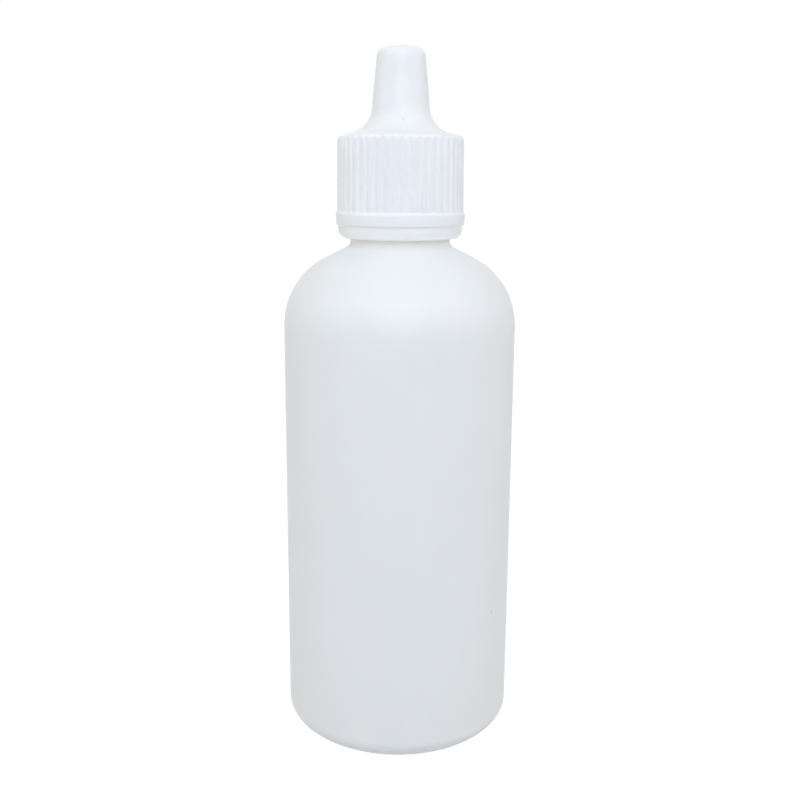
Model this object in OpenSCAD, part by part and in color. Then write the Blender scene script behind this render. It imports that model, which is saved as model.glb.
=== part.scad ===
// Squeeze bottle for eye drops, with a press-in dropper, a ribbed screw cap and a tamper-evident ring.
// Millimetres, +Z up, the origin at the centre of the foot, on the surface that the bottle stands on.

/* [Bottle body] */
// Outside diameter of the straight body
body_d = 42.5; // [40:0.5:46]
// Height at which the straight wall ends and the shoulder starts
wall_top_z = 77.7; // [60:0.1:95]
// Radius of the shoulder's round stretch
shoulder_r = 13.75; // [12:0.05:14.5]
// Slope of the shoulder where it runs in to the neck, in degrees
shoulder_slope = 26.8; // [22:0.1:32]
// Width of the round corner at the foot
foot_corner_w = 6.4; // [5:0.1:7]
// Height of the round corner at the foot
foot_corner_h = 4.5; // [3:0.1:6]
// Thickness of the blown wall
wall_t = 0.9; // [0.6:0.1:1.4]
// Thickness of the base
base_t = 1.2; // [0.8:0.1:1.8]
// Diameter of the hollow that is pushed up into the base
push_up_d = 22; // [16:0.5:26]
// Depth of the hollow in the base
push_up_h = 1.6; // [0.8:0.1:2.4]

/* [Neck] */
// Outside diameter of the neck between the shoulder and the retaining bead
collar_d = 18.1; // [17.6:0.1:18.4]
// Radius that blends the shoulder into the neck
collar_fillet = 1.25; // [0.6:0.05:2]
// Height of the neck from the end of that blend to the rim
neck_h = 16.3; // [15:0.1:20]
// Outside diameter of the threaded neck at the root of its thread
neck_root_d = 17; // [16.7:0.1:17.6]
// Bore of the neck
neck_bore_d = 13.5; // [12.5:0.1:14]
// Bevel on the outer edge of the rim
rim_bevel = 0.3; // [0.1:0.05:0.5]
// Diameter of the bead that holds the tamper-evident ring down
bead_d = 19.5; // [19.3:0.1:19.8]
// Height of the bead
bead_h = 1.1; // [0.8:0.05:1.2]

/* [Thread] */
// Rise of the thread in one turn
pitch = 3; // [2.5:0.1:3.2]
// Turns of thread on the neck
neck_turns = 1.75; // [1.25:0.25:2]
// Turns of thread in the cap
cap_turns = 1.25; // [0.75:0.25:1.5]
// Turns that free the cap
open_turns = 1.5; // [1:0.25:1.75]
// How far a thread ridge stands up from its wall
ridge_h = 0.8; // [0.6:0.05:0.9]
// Width of a ridge at its wall
ridge_w = 1.5; // [1.2:0.05:1.6]
// Angle of a ridge's flanks
flank_angle = 25; // [20:1:30]
// Distance from the rim down to the middle of the last turn
thread_drop = 1.6; // [1.4:0.1:2.4]
// Radial gap between the crest of one thread and the wall of the other
crest_gap = 0.2; // [0.15:0.05:0.3]
// Gap between the flanks when the cap is tight
flank_gap = 0.12; // [0.08:0.02:0.2]

/* [Dropper insert] */
// Thickness of the flange that rests on the rim
flange_t = 0.9; // [0.6:0.1:1.4]
// Diameter of the flange
flange_d = 16.6; // [15.6:0.1:16.8]
// Length of the plug in the neck
plug_l = 8.2; // [6.5:0.1:10]
// Wall of the plug
plug_t = 1.1; // [0.9:0.1:1.5]
// Radial gap between the plain part of the plug and the bore
plug_gap = 0.1; // [0.05:0.01:0.15]
// Number of sealing beads round the plug
seal_n = 3; // [2:1:3]
// Spacing of the sealing beads
seal_step = 1.8; // [1.4:0.1:2]
// Radius of a sealing bead's section
seal_r = 0.5; // [0.4:0.05:0.6]
// How far each sealing bead bites into the bore
seal_bite = 0.08; // [0.04:0.01:0.1]
// Height of the nozzle above the flange
nozzle_h = 14.2; // [12:0.1:17]
// Diameter of the nozzle at its tip
nozzle_tip_d = 3.9; // [3.6:0.1:4.4]
// Round edge at the nozzle's tip
nozzle_edge = 0.6; // [0.3:0.05:0.8]
// Wall of the nozzle
nozzle_t = 1.1; // [0.9:0.05:1.2]
// Radius at the foot of the nozzle
nozzle_fillet = 1.5; // [0.8:0.1:2]
// Length of the narrow drop hole at the tip
orifice_l = 2.6; // [2.2:0.1:3.5]

/* [Cap] */
// Thickness of the skirt behind the ribs
skirt_t = 1.6; // [1.2:0.05:1.8]
// How far the ribs stand out from the skirt
rib_h = 0.3; // [0.2:0.05:0.45]
// Number of ribs
rib_n = 44; // [36:1:48]
// Radius of a rib's round section
rib_r = 0.75; // [0.6:0.05:0.8]
// How much of a rib's round crest is trimmed flat
rib_trim = 0.03; // [0.02:0.01:0.06]
// Turn of the ribs about the axis, in degrees
rib_turn = 0.9; // [0:0.1:4]
// Height of the smooth band under the ribs
band_h = 2.3; // [1.5:0.1:3]
// How far the band stands out past the ribs
band_step = 0.3; // [0.3:0.05:0.4]
// Width of the round upper edge of the band
band_edge = 0.25; // [0.1:0.05:0.25]
// Height of the round upper edge of the band
band_edge_h = 0.55; // [0.2:0.05:0.7]
// Bevel at the foot of the cap, inside
foot_bevel = 0.25; // [0.1:0.05:0.4]
// How far the band draws in towards its lower edge
band_lean = 0.12; // [0:0.02:0.2]
// Draft of the ribbed skirt, in degrees
skirt_draft = 0.5; // [0:0.1:0.8]
// Radius of the round corner at the top of each rib
cap_corner = 0.85; // [0.5:0.05:1.2]
// Radius of the cap's top edge in the grooves between the ribs
groove_corner = 0.5; // [0.2:0.05:0.6]
// Slope of the cap's top, in degrees
top_slope = 16; // [12:0.5:20]
// Thickness of the cap's top over the inner wall
top_t = 1.05; // [0.9:0.05:1.5]
// Radius that blends the cap's top into the tip cover
cover_fillet = 4.7; // [3.5:0.1:5]
// Taper of the nozzle and of the cover over it, in degrees
cover_draft = 5.4; // [4:0.1:6.5]
// Wall of the tip cover
cover_t = 1.1; // [0.9:0.05:1.3]
// Thickness of the end of the tip cover
cover_end_t = 1.3; // [1:0.1:2]
// Air between the nozzle and the tip cover
cover_air = 1.1; // [0.8:0.05:1.4]
// Air between the nozzle's tip and the end of the cover
tip_air = 0.9; // [0.6:0.1:1.4]
// Outer corner radius at the end of the tip cover
cover_corner = 1.8; // [1.2:0.1:2.1]
// Inner corner radius at the end of the tip cover
cover_in_corner = 0.8; // [0.4:0.1:1.2]
// Height of the land inside the cap that comes down on the flange
land_h = 0.35; // [0.2:0.05:0.6]
// Width of that land
land_w = 1; // [0.6:0.1:1.2]
// Gap between the land and the flange
land_gap = 0.2; // [0.1:0.05:0.3]
// Diameter of the pin that closes the drop hole
pin_d = 0.9; // [0.7:0.05:1]
// How far the pin reaches into the drop hole
pin_reach = 1.2; // [0.8:0.1:1.6]
// Radial gap between the pin and the drop hole
pin_gap = 0.08; // [0.05:0.01:0.1]

/* [Tamper-evident ring] */
// Height of the ring
ring_h = 2.39; // [2:0.01:2.6]
// Thickness of the ring's wall
ring_t = 1.25; // [1:0.05:1.3]
// Gap between the ring's wall and the bead
ring_gap = 0.25; // [0.15:0.05:0.35]
// Gap between the collar and the ring's inner lip
lip_gap = 0.25; // [0.15:0.05:0.35]
// Height of the inner lip
lip_h = 0.55; // [0.4:0.05:0.7]
// Width of the flat underside of the ring
ring_flat_w = 0.65; // [0.4:0.05:0.8]
// Height of the rounded-in lower edge
ring_curve_h = 1.7; // [1:0.05:1.8]
// Bevel on both outer edges of the slit between the ring and the cap
slit_edge = 0.06; // [0.04:0.01:0.1]
// Height of the ring above the end of the neck's blend
ring_lift = 0.55; // [0.3:0.05:1]
// Gap between the lip and the bead above it
bead_gap = 0.3; // [0.2:0.05:0.35]
// Number of thin bridges that join the ring to the cap
bridge_n = 12; // [8:1:16]
// Width of one bridge
bridge_w = 0.6; // [0.4:0.05:0.8]
// Depth of one bridge in towards the neck
bridge_depth = 0.5; // [0.3:0.05:0.6]
// How far a bridge stands back from the ring's outside
bridge_back = 0.3; // [0.2:0.05:0.4]
// Height of a bridge, which is the slit between the ring and the cap
bridge_h = 0.06; // [0.04:0.01:0.2]

/* [Hidden] */

$fn = 96;
// Steps in a rounded corner of a section, and in the corner of a rib or of the band
arc_steps = 10;
rib_steps = 6;
// Thread segments in one turn, and the angle over which a thread runs out
turn_steps = 36;
run_out = 40;
// How deep a ridge is rooted in its wall, and how deep its crest sinks at its ends
root_depth = 0.4;
sink_depth = 0.1;

body_r = body_d / 2;
collar_r = collar_d / 2;
neck_root_r = neck_root_d / 2;
bore_r = neck_bore_d / 2;
bead_r = bead_d / 2;

// The shoulder is an arc from the straight wall, then a cone, then a fillet into the collar
shoulder_c = [body_r - shoulder_r, wall_top_z];
shoulder_turn = 90 - shoulder_slope;
shoulder_end = shoulder_c + shoulder_r * [cos(shoulder_turn), sin(shoulder_turn)];
collar_c = corner_centre(shoulder_end, shoulder_slope, [collar_r, 0], 0, collar_fillet);
collar_z = collar_c[1];

// Heights up the neck, the insert and the cap
rim_z = collar_z + neck_h;
flange_z = rim_z + flange_t;
tip_z = flange_z + nozzle_h;
cover_in_z = tip_z + tip_air;
cap_top_z = cover_in_z + cover_end_t;
land_z = flange_z + land_gap;
ceiling_z = land_z + land_h;
ring_z = collar_z + ring_lift;
ring_top_z = ring_z + ring_h;
cap_z = ring_top_z + bridge_h;
band_top_z = cap_z + band_h;
bead_z = ring_z + lip_h + bead_gap;

// Radii of the insert, the cap and the ring
flange_r = flange_d / 2;
plug_r = bore_r - plug_gap;
nozzle_tip_r = nozzle_tip_d / 2;
orifice_r = pin_d / 2 + pin_gap;
cap_in_r = neck_root_r + ridge_h + crest_gap;
rib_root_r = cap_in_r + skirt_t;
rib_crest_r = rib_root_r + rib_h;
band_r = rib_crest_r + band_step;
ring_in_r = bead_r + ring_gap;
ring_r = ring_in_r + ring_t;
lip_r = collar_r + lip_gap;
cover_top_r = nozzle_tip_r + cover_air + cover_t;
cover_in_top_r = cover_top_r - cover_t / cos(cover_draft);

// The cap's top and the tip cover are two slopes, outside and inside, each with its fillet
top_edge = [cap_in_r, ceiling_z + top_t];
rib_corner_c = corner_centre(top_edge, top_slope, [rib_crest_r, band_top_z], skirt_draft, -cap_corner);
rib_top_z = rib_corner_c[1] + cap_corner * cos(top_slope);
cover_c = corner_centre(top_edge, top_slope, [cover_top_r, cap_top_z], cover_draft, cover_fillet);
cover_in_c = corner_centre([cap_in_r, ceiling_z], top_slope, [cover_in_top_r, cap_top_z], cover_draft,
    cover_fillet + cover_t);

// Neck ridge and cap ridge follow one helix: the cap's lies a step below and starts where it frees
both_half_w = ridge_w - (ridge_h + crest_gap) * tan(flank_angle);
thread_step = both_half_w + flank_gap / cos(flank_angle);
neck_thread_z = rim_z - thread_drop - neck_turns * pitch;
cap_start = neck_turns - open_turns;
cap_thread_z = neck_thread_z + cap_start * pitch - thread_step;

// Points of an arc round centre c, from angle a0 to angle a1
function arc(c, r, a0, a1, steps = arc_steps) =
    [for (i = [0 : steps]) let (a = a0 + (a1 - a0) * i / steps) c + r * [cos(a), sin(a)]];

// Points of a quarter ellipse round centre c: up to its side from its lowest point, or up from its
// side to its top
function foot_arc(c, rx, rz, steps = arc_steps) =
    [for (i = [0 : steps]) let (a = 90 * i / steps) c + [rx * sin(a), -rz * cos(a)]];
function brow_arc(c, rx, rz, steps = arc_steps) =
    [for (i = [0 : steps]) let (a = 90 * i / steps) c + [rx * cos(a), rz * sin(a)]];

function backwards(list) = [for (i = [len(list) - 1 : -1 : 0]) list[i]];

// Centre of a rounding of radius r between two lines: one through p rises inwards at slope, and
// one through q leans in by draft. A rounding over an outer edge has a negative r.
function corner_centre(p, slope, q, draft, r) =
    let (n = [sin(slope), cos(slope)])
    let (m = [cos(draft), sin(draft)])
    let (a = p * n + r)
    let (b = q * m + r)
    let (det = n[0] * m[1] - n[1] * m[0])
    [(a * m[1] - b * n[1]) / det, (b * n[0] - a * m[0]) / det];

// Points of the rounding itself: a fillet in a hollow, or the outside of an edge
function fillet_arc(c, r, slope, draft, steps = arc_steps) = arc(c, r, 270 - slope, 180 + draft, steps);
function edge_arc(c, r, slope, draft, steps = arc_steps) = arc(c, r, draft, 90 - slope, steps);

// One ring of a helical ridge: lower root, upper root, upper crest, lower crest
function ridge_ring(a, z, root_r, root_w, crest_r, crest_w) = [
    [root_r * cos(a), root_r * sin(a), z - root_w / 2],
    [root_r * cos(a), root_r * sin(a), z + root_w / 2],
    [crest_r * cos(a), crest_r * sin(a), z + crest_w / 2],
    [crest_r * cos(a), crest_r * sin(a), z - crest_w / 2]
];

// A helical ridge on a wall. Way is 1 where it stands outwards and -1 where it stands inwards.
// At both ends its crest sinks back into the wall.
module helical_ridge(turns, z0, a0, wall_r, way) {
    steps = round(turns * turn_steps);
    taper = tan(flank_angle);
    rings = [
        for (i = [0 : steps])
            let (a = 360 * turns * i / steps)
            let (rise = min(1, a / run_out, (360 * turns - a) / run_out))
            let (h = rise * (ridge_h + sink_depth) - sink_depth)
            ridge_ring(a0 + a, z0 + pitch * a / 360, wall_r - way * root_depth,
                ridge_w + 2 * root_depth * taper, wall_r + way * h, ridge_w - 2 * h * taper)
    ];
    sides = [
        for (i = [0 : steps - 1], k = [0 : 3])
            let (p = 4 * i + k)
            let (q = 4 * i + (k + 1) % 4)
            each [[q + 4, q, p], [p + 4, q + 4, p]]
    ];
    end = 4 * steps;
    faces = concat(sides, [[0, 1, 2], [0, 2, 3], [end + 2, end + 1, end], [end + 3, end + 2, end]]);
    polyhedron([for (ring = rings) each ring], way > 0 ? faces : [for (f = faces) backwards(f)]);
}

// Half section of the bottle: out along the base, up the outside, over the rim and down the inside
module bottle_section() {
    dome_r = (pow(push_up_d / 2, 2) + pow(push_up_h, 2)) / (2 * push_up_h);
    dome_a = asin(push_up_d / 2 / dome_r);
    dome_c = [0, push_up_h - dome_r];
    foot_c = [body_r - foot_corner_w, foot_corner_h];
    in_foot_h = foot_corner_h - wall_t;
    in_foot_c = [foot_c[0], base_t + in_foot_h];
    in_shoulder_r = shoulder_r - wall_t;
    in_end = shoulder_c + in_shoulder_r * [cos(shoulder_turn), sin(shoulder_turn)];
    polygon(concat(
        arc(dome_c, dome_r, 90, 90 - dome_a),
        foot_arc(foot_c, foot_corner_w, foot_corner_h),
        arc(shoulder_c, shoulder_r, 0, shoulder_turn, 2 * arc_steps),
        fillet_arc(collar_c, collar_fillet, shoulder_slope, 0),
        [
            [collar_r, bead_z],
            [bead_r, bead_z],
            [bead_r, bead_z + bead_h / 2],
            [neck_root_r, bead_z + bead_h],
            [neck_root_r, rim_z - rim_bevel],
            [neck_root_r - rim_bevel, rim_z],
            [bore_r, rim_z],
            [bore_r, in_end[1] + (in_end[0] - bore_r) * tan(shoulder_slope)]
        ],
        arc(shoulder_c, in_shoulder_r, shoulder_turn, 0, 2 * arc_steps),
        backwards(foot_arc(in_foot_c, foot_corner_w - wall_t, in_foot_h)),
        arc(dome_c + [0, base_t], dome_r, 90 - dome_a, 90)
    ));
}

module bottle() {
    color("whitesmoke") {
        rotate_extrude() bottle_section();
        helical_ridge(neck_turns, neck_thread_z, 0, neck_root_r, 1);
    }
}

// Half section of the insert: a hollow plug, the flange on the rim, and the nozzle with its channel
module insert_section() {
    plug_z = rim_z - plug_l;
    plug_in_r = plug_r - plug_t;
    lead = plug_t / 2;
    foot_c = corner_centre([0, flange_z], 0, [nozzle_tip_r, tip_z], cover_draft, nozzle_fillet);
    edge_c = corner_centre([0, tip_z], 0, [nozzle_tip_r, tip_z], cover_draft, -nozzle_edge);
    channel_top_z = tip_z - orifice_l - nozzle_t;
    channel_top_r = nozzle_tip_r - nozzle_t + (tip_z - channel_top_z) * tan(cover_draft);
    channel_r = nozzle_tip_r - nozzle_t + (tip_z - flange_z) * tan(cover_draft);
    polygon(concat(
        [
            [plug_in_r, plug_z],
            [plug_r - lead, plug_z],
            [plug_r, plug_z + 2 * lead],
            [plug_r, rim_z],
            [flange_r, rim_z],
            [flange_r, flange_z]
        ],
        fillet_arc(foot_c, nozzle_fillet, 0, cover_draft),
        edge_arc(edge_c, nozzle_edge, 0, cover_draft),
        [
            [orifice_r, tip_z],
            [orifice_r, tip_z - orifice_l],
            [channel_top_r, channel_top_z],
            [channel_r, flange_z],
            [plug_in_r, rim_z - plug_t]
        ]
    ));
    for (i = [1 : seal_n])
        translate([bore_r + seal_bite - seal_r, rim_z - i * seal_step])
            circle(seal_r);
}

module dropper_insert() {
    color("white") rotate_extrude() insert_section();
}

// Half section of the cap without its ribs: band, skirt, sloped top, tip cover, land and closing pin
module cap_section() {
    pin_r = pin_d / 2;
    groove_c = corner_centre(top_edge, top_slope, [rib_root_r, band_top_z], skirt_draft, -groove_corner);
    end_c = corner_centre([0, cap_top_z], 0, [cover_top_r, cap_top_z], cover_draft, -cover_corner);
    in_end_c = corner_centre([0, cover_in_z], 0, [cover_in_top_r, cap_top_z], cover_draft, -cover_in_corner);
    polygon(concat(
        [
            [cap_in_r + foot_bevel, cap_z],
            [band_r - band_lean - slit_edge, cap_z],
            [band_r - band_lean, cap_z + slit_edge]
        ],
        brow_arc([band_r - band_edge, band_top_z - band_edge_h], band_edge, band_edge_h, rib_steps),
        [[rib_root_r, band_top_z]],
        edge_arc(groove_c, groove_corner, top_slope, skirt_draft, rib_steps),
        fillet_arc(cover_c, cover_fillet, top_slope, cover_draft, 2 * arc_steps),
        edge_arc(end_c, cover_corner, 0, cover_draft),
        [
            [0, cap_top_z],
            [0, tip_z - pin_reach],
            [pin_r / 2, tip_z - pin_reach],
            [pin_r, tip_z - pin_reach + pin_r / 2],
            [pin_r, cover_in_z]
        ],
        backwards(edge_arc(in_end_c, cover_in_corner, 0, cover_draft)),
        backwards(fillet_arc(cover_in_c, cover_fillet + cover_t, top_slope, cover_draft, 2 * arc_steps)),
        [
            [cap_in_r, ceiling_z],
            [cap_in_r, cap_z + foot_bevel]
        ]
    ));
    land_top_z = ceiling_z + (cap_in_r - flange_r + land_w / 2) * tan(top_slope) + top_t / 2;
    translate([flange_r - land_w, land_z])
        square([land_w, land_top_z - land_z]);
}

// Ribs are round staves, trimmed to the draft of the skirt and to the round corner over it. The
// grooves between them stay open at the top.
module cap_ribs() {
    intersection() {
        translate([0, 0, band_top_z])
            for (i = [0 : rib_n - 1])
                rotate(360 * (i + 1 / 2) / rib_n)
                    translate([rib_crest_r + rib_trim - rib_r, 0, 0])
                        cylinder(h = rib_top_z - band_top_z, r = rib_r, $fn = 24);
        rotate_extrude()
            polygon(concat(
                [[0, band_top_z], [rib_crest_r, band_top_z]],
                edge_arc(rib_corner_c, cap_corner, top_slope, skirt_draft, rib_steps),
                [[0, rib_top_z]]
            ));
    }
}

module cap() {
    color("white") {
        rotate(rib_turn) {
            rotate_extrude() cap_section();
            cap_ribs();
        }
        helical_ridge(cap_turns, cap_thread_z, 360 * cap_start, cap_in_r, -1);
    }
}

// Half section of the ring: the wall, the rounded-in lower edge and the lip that hooks under the bead
module ring_section() {
    flat_r = lip_r + ring_flat_w;
    polygon(concat(
        [[lip_r, ring_z]],
        foot_arc([flat_r, ring_z + ring_curve_h], ring_r - flat_r, ring_curve_h),
        [
            [ring_r, ring_top_z - slit_edge],
            [ring_r - slit_edge, ring_top_z],
            [ring_in_r, ring_top_z],
            [ring_in_r, ring_z + lip_h],
            [lip_r, ring_z + lip_h]
        ]
    ));
}

module tamper_ring() {
    color("white") rotate_extrude() ring_section();
}

// Thin bridges that tear when the cap is first turned
module tear_bridges() {
    color("white")
        for (i = [0 : bridge_n - 1])
            rotate(360 * i / bridge_n)
                translate([ring_r - bridge_back - bridge_depth, -bridge_w / 2, ring_top_z])
                    cube([bridge_depth, bridge_w, bridge_h]);
}

bottle();
dropper_insert();
cap();
tamper_ring();
tear_bridges();
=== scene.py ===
from math import asin, cos, degrees, pi, radians, sin, tan

import bmesh
import bpy
from mathutils import Matrix, Vector


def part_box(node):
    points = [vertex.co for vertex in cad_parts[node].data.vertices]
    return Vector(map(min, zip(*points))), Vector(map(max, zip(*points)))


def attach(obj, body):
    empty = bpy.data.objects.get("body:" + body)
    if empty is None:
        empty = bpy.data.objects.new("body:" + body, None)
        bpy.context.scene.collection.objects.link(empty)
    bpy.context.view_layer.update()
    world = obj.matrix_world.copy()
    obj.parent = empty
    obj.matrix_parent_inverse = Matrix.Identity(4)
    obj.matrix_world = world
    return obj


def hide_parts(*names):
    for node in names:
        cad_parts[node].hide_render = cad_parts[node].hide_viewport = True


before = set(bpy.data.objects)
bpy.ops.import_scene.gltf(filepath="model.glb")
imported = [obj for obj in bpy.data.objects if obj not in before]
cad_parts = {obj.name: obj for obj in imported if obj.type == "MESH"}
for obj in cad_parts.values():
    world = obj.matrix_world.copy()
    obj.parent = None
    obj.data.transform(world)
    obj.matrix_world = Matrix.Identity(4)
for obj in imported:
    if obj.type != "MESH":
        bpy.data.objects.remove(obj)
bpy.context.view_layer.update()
mm = 0.001


# Nodes and sums


def findSocket(sockets, key):
    if isinstance(key, int):
        return sockets[key]
    return next(s for s in sockets if key in (s.identifier, s.name))


class Wire:
    # a node's output that can stand in a sum
    def __init__(self, sheet, socket):
        self.sheet, self.socket = sheet, socket

    def other(self, key):
        return Wire(self.sheet, findSocket(self.socket.node.outputs, key))

    def sum(self, operation, *others, flipped=False):
        terms = (*others, self) if flipped else (self, *others)
        return self.sheet.add("ShaderNodeMath", {"operation": operation}, dict(enumerate(terms)))

    def __add__(self, term):
        return self.sum("ADD", term)

    def __sub__(self, term):
        return self.sum("SUBTRACT", term)

    def __mul__(self, term):
        return self.sum("MULTIPLY", term)

    def __truediv__(self, term):
        return self.sum("DIVIDE", term)

    def __rsub__(self, term):
        return self.sum("SUBTRACT", term, flipped=True)

    def __rtruediv__(self, term):
        return self.sum("DIVIDE", term, flipped=True)

    def __abs__(self):
        return self.sum("ABSOLUTE")

    __radd__, __rmul__ = __add__, __mul__

    def within(self, low=0.0, high=1.0):
        return self.sum("MAXIMUM", low).sum("MINIMUM", high)

    def ease(self, start, end):
        # 0 at start, 1 at end, smooth between them; start may be the larger
        return self.sheet.add(
            "ShaderNodeMapRange",
            {"interpolation_type": "SMOOTHSTEP"},
            {"Value": self, "From Min": start, "From Max": end, "To Min": 0.0, "To Max": 1.0},
        )

    def easeSize(self, zone, base=0.0):
        # the same for a zone in millimetres, measured from a base
        return self.ease((base + zone[0]) * mm, (base + zone[1]) * mm)


class Sheet:
    # a node tree that nodes are written on
    def __init__(self, tree):
        self.tree = tree

    def add(self, kind, settings=None, values=None, output=0):
        node = self.tree.nodes.new(kind)
        for key, value in (settings or {}).items():
            setattr(node, key, value)
        for key, value in (values or {}).items():
            socket = findSocket(node.inputs, key)
            if isinstance(value, Wire):
                self.tree.links.new(value.socket, socket)
            else:
                socket.default_value = value
        if node.outputs:
            return Wire(self, findSocket(node.outputs, output))

    def parts(self, place):
        # finds a part of a vector by the name of its axis
        return self.add("ShaderNodeSeparateXYZ", values={0: place}).other

    def vector(self, **parts):
        return self.add("ShaderNodeCombineXYZ", values=parts)

    def blendColours(self, share, first, second):
        colours = [c if isinstance(c, Wire) else (*c, 1) for c in (first, second)]
        return self.add(
            "ShaderNodeMix",
            {"data_type": "RGBA"},
            {"Factor_Float": share, "A_Color": colours[0], "B_Color": colours[1]},
            "Result_Color",
        )


# Turned sections: points are (radius, height) in millimetres


def heading(angle):
    return Vector((cos(radians(angle)), sin(radians(angle))))


def crossing(p, pAngle, q, qAngle):
    # where the line through p meets the line through q, each at an angle up from outwards
    p, q = Vector(p), Vector(q)
    way, otherWay = heading(pAngle), heading(qAngle)
    return p + way * ((q - p).cross(otherWay) / way.cross(otherWay))


def roundCentre(p, pAngle, q, qAngle, side):
    # centre of a rounding that lies side off both lines, to their left
    p = Vector(p) + heading(pAngle + 90) * side
    q = Vector(q) + heading(qAngle + 90) * side
    return crossing(p, pAngle, q, qAngle)


def arcLine(centre, radius, start, end, steps):
    angles = [start + (end - start) * i / steps for i in range(steps + 1)]
    return [Vector(centre) + heading(angle) * radius for angle in angles]


def ovalLine(centre, width, height, steps):
    # quarter of an ellipse, from its lowest point out to its side
    spots = [heading(-90 + 90 * i / steps) for i in range(steps + 1)]
    return [Vector(centre) + Vector((s.x * width, s.y * height)) for s in spots]


def sectionLine(corners):
    # a corner is (radius, height), and may add a rounding and its number of steps
    spots = [Vector(c[:2]) for c in corners]
    count = len(corners)
    roundings = [c[2] if len(c) > 2 else 0 for c in corners]
    backs = [(spots[i - 1] - spots[i]).normalized() for i in range(count)]
    aheads = [(spots[(i + 1) % count] - spots[i]).normalized() for i in range(count)]
    halves = [backs[i].angle(aheads[i], pi) / 2 for i in range(count)]
    reaches = [roundings[i] / tan(halves[i]) if roundings[i] else 0 for i in range(count)]
    line = []
    for i in range(count):
        if not roundings[i]:
            line.append(spots[i])
            continue
        steps = corners[i][3] if len(corners[i]) > 3 else 6
        middle = (backs[i] + aheads[i]).normalized()
        centre = spots[i] + middle * roundings[i] / sin(halves[i])
        start = spots[i] + backs[i] * reaches[i]
        end = spots[i] + aheads[i] * reaches[i]
        turn = (pi - 2 * halves[i]) * (1 if backs[i].cross(aheads[i]) < 0 else -1)
        # a guard point beside the arc keeps the flat next to it flat
        guard = roundings[i] / 4
        if (spots[i - 1] - spots[i]).length - reaches[i] - reaches[i - 1] > 3 * guard:
            line.append(start + backs[i] * guard)
        line += [centre + Matrix.Rotation(turn * k / steps, 2) @ (start - centre) for k in range(steps + 1)]
        if (spots[(i + 1) % count] - spots[i]).length - reaches[i] - reaches[(i + 1) % count] > 3 * guard:
            line.append(end + aheads[i] * guard)
    return line


def plainCorners(spots):
    # spots as corners without a rounding
    return [tuple(s) for s in spots]


def splitLine(line, low, high, step):
    # more points on what lies between two heights
    fine = [line[0]]
    for here, there in zip(line, line[1:]):
        parts = 1
        if low < min(here.y, there.y) and max(here.y, there.y) < high:
            parts = max(1, round((there - here).length / step))
        fine += [here.lerp(there, k / parts) for k in range(1, parts + 1)]
    return fine


def evenTurn(count):
    return [2 * pi * i / count for i in range(count)]


def latheRings(mesh, line, angles):
    # one ring of points for each spot of the line, or a single point on the axis
    rings = []
    for spot in line:
        radius, height = spot.x * mm, spot.y * mm
        if spot.x < 1e-6:
            rings.append([mesh.verts.new((0, 0, height))])
        else:
            rings.append([mesh.verts.new((radius * cos(a), radius * sin(a), height)) for a in angles])
    return rings


def skinRings(mesh, rings, closed=False):
    for low, high in zip(rings, rings[1:] + rings[:1] if closed else rings[1:]):
        count = max(len(low), len(high))
        for i in range(count):
            j = (i + 1) % count
            corners = [low[i % len(low)], low[j % len(low)], high[j % len(high)], high[i % len(high)]]
            mesh.faces.new(list(dict.fromkeys(corners)))  # a pole leaves three corners


def joinRings(mesh, fine, coarse):
    # a flat face between a ring of many points and one of few
    share = len(fine) // len(coarse)
    for i in range(len(coarse)):
        side = [fine[(i * share + k) % len(fine)] for k in range(share + 1)]
        mesh.faces.new([coarse[i], *side, coarse[(i + 1) % len(coarse)]])


def makePiece(name, build):
    # build fills the mesh, whose faces are then turned outwards
    mesh = bmesh.new()
    build(mesh)
    bmesh.ops.recalc_face_normals(mesh, faces=mesh.faces)
    for face in mesh.faces:
        face.smooth = True
    data = bpy.data.meshes.new(name)
    mesh.to_mesh(data)
    mesh.free()
    piece = bpy.data.objects.new(name, data)
    bpy.context.scene.collection.objects.link(piece)
    return piece


# Geometry Nodes


def startTree(name, inputs):
    # the tree, its sheet and its named inputs as wires
    tree = bpy.data.node_groups.new(name, "GeometryNodeTree")
    kinds = {"Material": "NodeSocketMaterial", "Geometry": "NodeSocketGeometry"}
    for label in ("Geometry", *inputs, "Material"):
        kind = kinds.get(label, "NodeSocketFloat")
        tree.interface.new_socket(label, in_out="INPUT", socket_type=kind)
    tree.interface.new_socket("Geometry", in_out="OUTPUT", socket_type="NodeSocketGeometry")
    sheet = Sheet(tree)
    given = sheet.add("NodeGroupInput")
    return tree, sheet, given.other


def endTree(sheet, geometry, material):
    whole = sheet.add("GeometryNodeRealizeInstances", values={"Geometry": geometry})
    done = sheet.add("GeometryNodeSetMaterial", values={"Geometry": whole, "Material": material})
    sheet.add("NodeGroupOutput", values={"Geometry": done})


def growTree(piece, tree, values):
    # the tree's result becomes the piece's own mesh
    modifier = piece.modifiers.new(tree.name, "NODES")
    modifier.node_group = tree
    for item in tree.interface.items_tree:
        if item.in_out == "INPUT" and item.name in values:
            modifier[item.identifier] = values[item.name]
    graph = bpy.context.evaluated_depsgraph_get()
    shaped = piece.evaluated_get(graph)
    grown = bpy.data.meshes.new_from_object(shaped, preserve_all_data_layers=True, depsgraph=graph)
    piece.modifiers.clear()
    plain, piece.data = piece.data, grown
    bpy.data.meshes.remove(plain)
    grown.name = piece.name
    grown.polygons.foreach_set("use_smooth", [True] * len(grown.polygons))


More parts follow.
